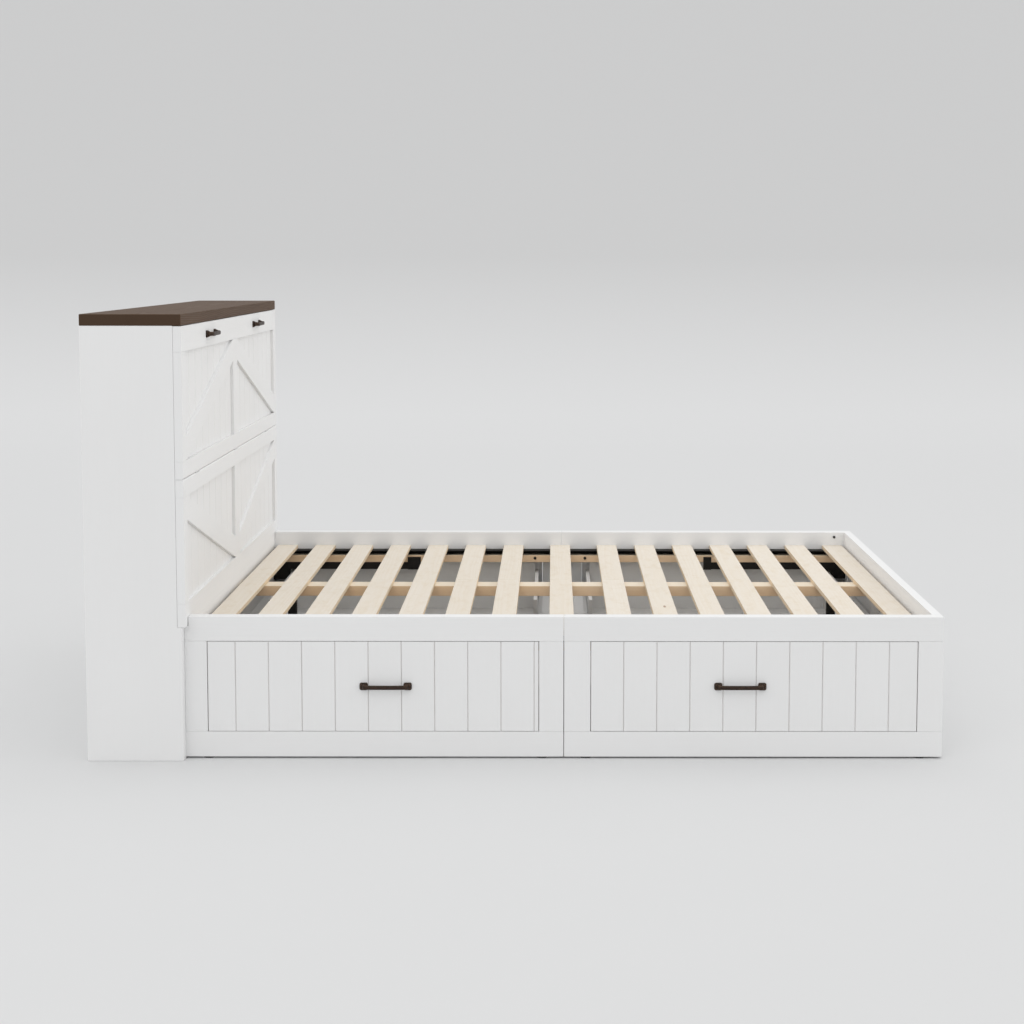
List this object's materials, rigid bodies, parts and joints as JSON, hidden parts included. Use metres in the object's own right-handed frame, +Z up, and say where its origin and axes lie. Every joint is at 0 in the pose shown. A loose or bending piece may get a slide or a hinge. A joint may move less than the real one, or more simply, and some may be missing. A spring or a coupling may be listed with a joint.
{
  "type": "platform bed with storage drawers",
  "caption": "Painted plank platform bed with drawers under both long sides, a slatted deck and a cabinet headboard with a drop-front flap.",
  "frame": {"origin": "middle of the footprint, on the floor", "axes": "+X from the headboard to the foot, +Y from the side seen in the picture to the far side, +Z up"},
  "size_m": [2.332, 1.666, 1.216],
  "materials": {
    "painted_wood": "satin white paint over pine, lightly worn on the edges",
    "pine": "planed unfinished pine with knots",
    "walnut": "dark walnut stain, satin, with open grain",
    "white_enamel": "satin white enamel over steel hinges and drawer slides",
    "black_steel": "black powder coat",
    "dark_bronze": "oil-rubbed dark bronze",
    "zinc_steel": "bright zinc plate",
    "black_nylon": "moulded nylon",
    "white_plastic": "moulded plastic catch body"
  },
  "bodies": {
    "frame": {"side_rails": "painted_wood", "face_stiles": "painted_wood", "plinth_rails": "painted_wood", "foot_rail": "painted_wood", "foot_frame": "painted_wood", "foot_boards": "painted_wood", "head_rail": "painted_wood", "head_panel": "painted_wood", "middle_panels": "painted_wood", "beam_legs": "black_steel", "slats": "pine", "slat_screws": "zinc_steel", "centre_beam": "pine", "ledgers": "pine", "slat_angles": "black_steel", "stiffener_bars": "black_steel", "bar_brackets": "black_steel", "slide_battens": "painted_wood", "slide_channels": "white_enamel", "module_bolts": "black_steel", "floor_glides": "black_nylon", "cabinet_sides": "painted_wood", "cabinet_back": "painted_wood", "cabinet_top_plank": "walnut", "cabinet_middle_shelf": "painted_wood", "cabinet_base_shelf": "painted_wood", "cabinet_dividers": "painted_wood", "cabinet_kick_board": "painted_wood", "lower_panel_frame": "painted_wood", "lower_panel_boards": "painted_wood", "lower_panel_braces": "painted_wood", "hinge_leaves_fixed": "white_enamel", "magnetic_catches": "white_plastic"},
    "flap": {"flap_frame": "painted_wood", "flap_boards": "painted_wood", "flap_braces": "painted_wood", "flap_pulls": "dark_bronze", "flap_hinge_leaves": "white_enamel", "hinge_pins": "zinc_steel", "flap_strike_plates": "zinc_steel"},
    "drawer_near_head": {"drawer_near_head_front": "painted_wood", "drawer_near_head_box": "painted_wood", "drawer_near_head_bottom": "painted_wood", "drawer_near_head_pull": "dark_bronze", "drawer_near_head_slides": "white_enamel"},
    "drawer_near_foot": {"drawer_near_foot_front": "painted_wood", "drawer_near_foot_box": "painted_wood", "drawer_near_foot_bottom": "painted_wood", "drawer_near_foot_pull": "dark_bronze", "drawer_near_foot_slides": "white_enamel"},
    "drawer_far_head": {"drawer_far_head_front": "painted_wood", "drawer_far_head_box": "painted_wood", "drawer_far_head_bottom": "painted_wood", "drawer_far_head_pull": "dark_bronze", "drawer_far_head_slides": "white_enamel"},
    "drawer_far_foot": {"drawer_far_foot_front": "painted_wood", "drawer_far_foot_box": "painted_wood", "drawer_far_foot_bottom": "painted_wood", "drawer_far_foot_pull": "dark_bronze", "drawer_far_foot_slides": "white_enamel"}
  },
  "joints": [
    {"name": "flap_hinge", "type": "hinge", "parent": "frame", "child": "flap", "pos_m": [-0.8965, 0, 0.77075], "axis": [0, 1, 0], "range_deg": [0, 90]},
    {"name": "drawer_near_head_slide", "type": "slide", "parent": "frame", "child": "drawer_near_head", "axis": [0, -1, 0], "range_m": [0, 0.4]},
    {"name": "drawer_near_foot_slide", "type": "slide", "parent": "frame", "child": "drawer_near_foot", "axis": [0, -1, 0], "range_m": [0, 0.4]},
    {"name": "drawer_far_head_slide", "type": "slide", "parent": "frame", "child": "drawer_far_head", "axis": [0, 1, 0], "range_m": [0, 0.4]},
    {"name": "drawer_far_foot_slide", "type": "slide", "parent": "frame", "child": "drawer_far_foot", "axis": [0, 1, 0], "range_m": [0, 0.4]}
  ]
}
